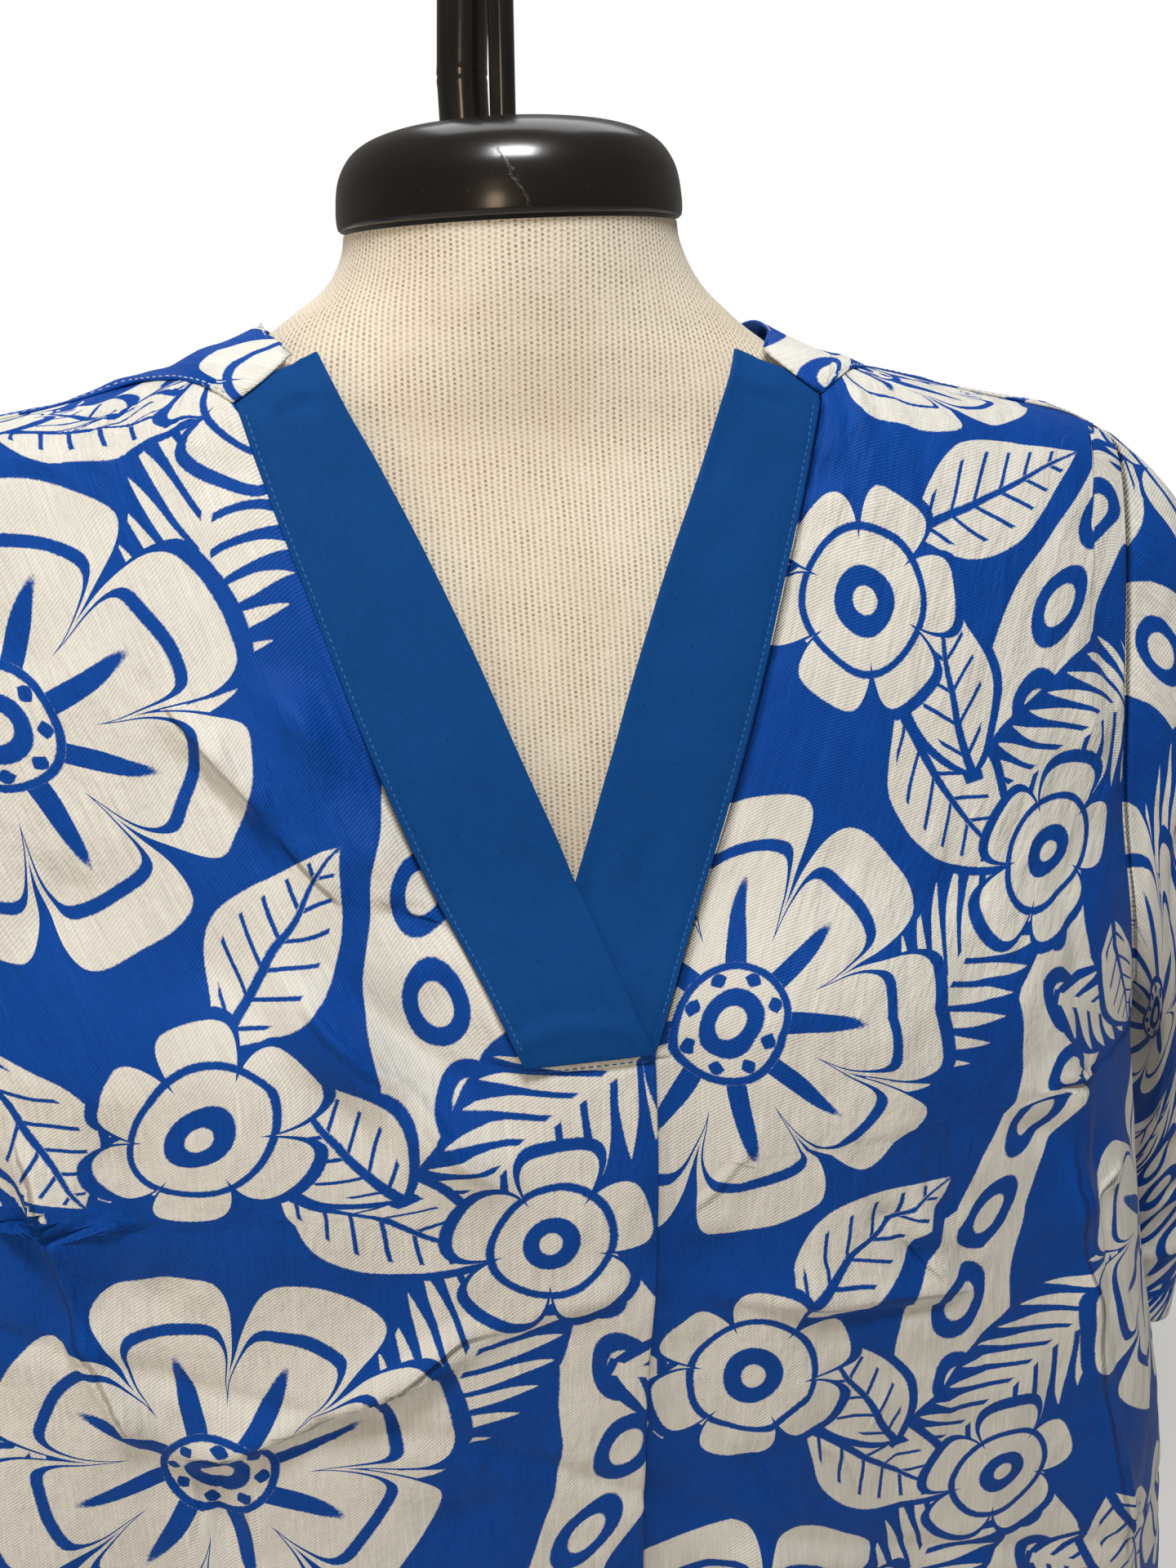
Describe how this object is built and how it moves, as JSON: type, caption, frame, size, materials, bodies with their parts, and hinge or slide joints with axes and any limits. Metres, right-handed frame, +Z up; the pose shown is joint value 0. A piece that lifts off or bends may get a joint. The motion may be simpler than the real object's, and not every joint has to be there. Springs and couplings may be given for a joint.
{
  "type": "v-neck tunic top on a limbless dress form",
  "caption": "Wide v-neck tunic top with a crossed neck band, pleated front, back yoke and loose sleeves, worn by a limbless dress form that stands on its flat base.",
  "frame": {"origin": "on the surface that the dress form stands on, under the middle of the whole part", "axes": "+Z up, -Y the way the top's front faces, +X towards the wearer's left sleeve"},
  "size_m": [0.7148, 0.2877, 0.8624],
  "materials": {
    "printed_cotton": "printed cotton twill with a slub, blue and off-white, soft slight sheen",
    "plain_cotton": "plain-weave cotton, matt blue",
    "knit_cover": "cream rib knit",
    "black_gloss": "glossy brown-black plastic",
    "black_metal": "glossy black paint on round bar"
  },
  "bodies": {
    "root": {"front": "printed_cotton", "back": "printed_cotton", "yoke": "printed_cotton", "sleeve_left": "printed_cotton", "sleeve_right": "printed_cotton", "band_upper": "plain_cotton", "band_lower": "plain_cotton", "form_torso": "knit_cover", "neck_cap": "black_gloss", "rod": "black_metal", "stem": "black_metal"}
  },
  "joints": []
}
